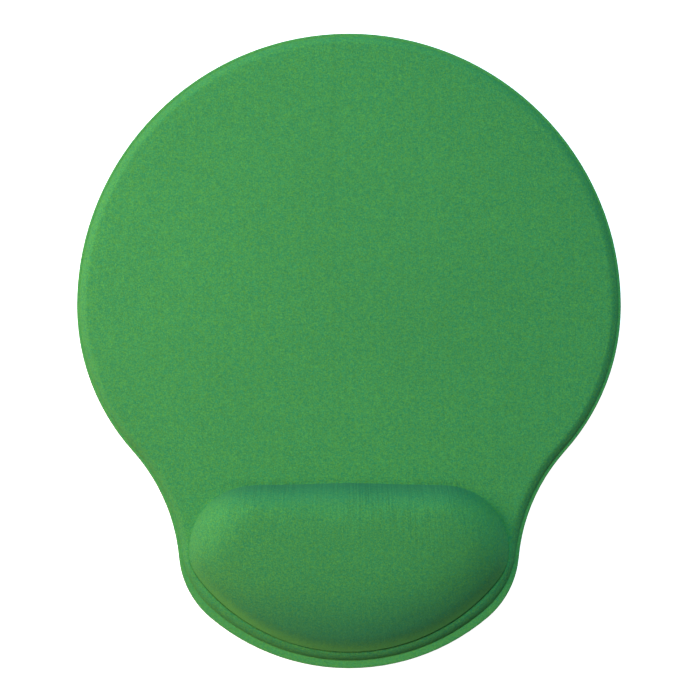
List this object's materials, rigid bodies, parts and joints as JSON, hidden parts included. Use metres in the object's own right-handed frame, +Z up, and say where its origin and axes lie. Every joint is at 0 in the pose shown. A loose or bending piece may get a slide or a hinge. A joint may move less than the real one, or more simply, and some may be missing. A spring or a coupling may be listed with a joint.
{
  "type": "mouse mat with wrist rest",
  "caption": "Soft cloth-covered mouse mat, round at the far end and waisted towards the user, with a built-in domed gel wrist cushion on a non-slip base.",
  "frame": {"origin": "on the underside, at the middle of the mat's length and width", "axes": "+Z up from the desk, +Y along the length away from the user, +X to the user's right"},
  "size_m": [0.21, 0.245, 0.02],
  "materials": {
    "base_rubber": "matt black non-slip rubber with a fine gripping texture below",
    "adhesive": "thin cream hot-melt adhesive film",
    "foam": "dark grey closed-cell foam sheet",
    "pouch_film": "soft clear plastic film",
    "gel": "soft pale translucent gel",
    "cover_knit": "green stretch knit with a fine mottled grain"
  },
  "bodies": {
    "root": {"base_sheet": "base_rubber", "base_adhesive": "adhesive", "mat_foam": "foam", "pouch_lower_film": "pouch_film", "gel_core": "gel", "pouch_upper_film": "pouch_film", "cover_adhesive": "adhesive", "cover_cloth": "cover_knit"}
  },
  "joints": []
}
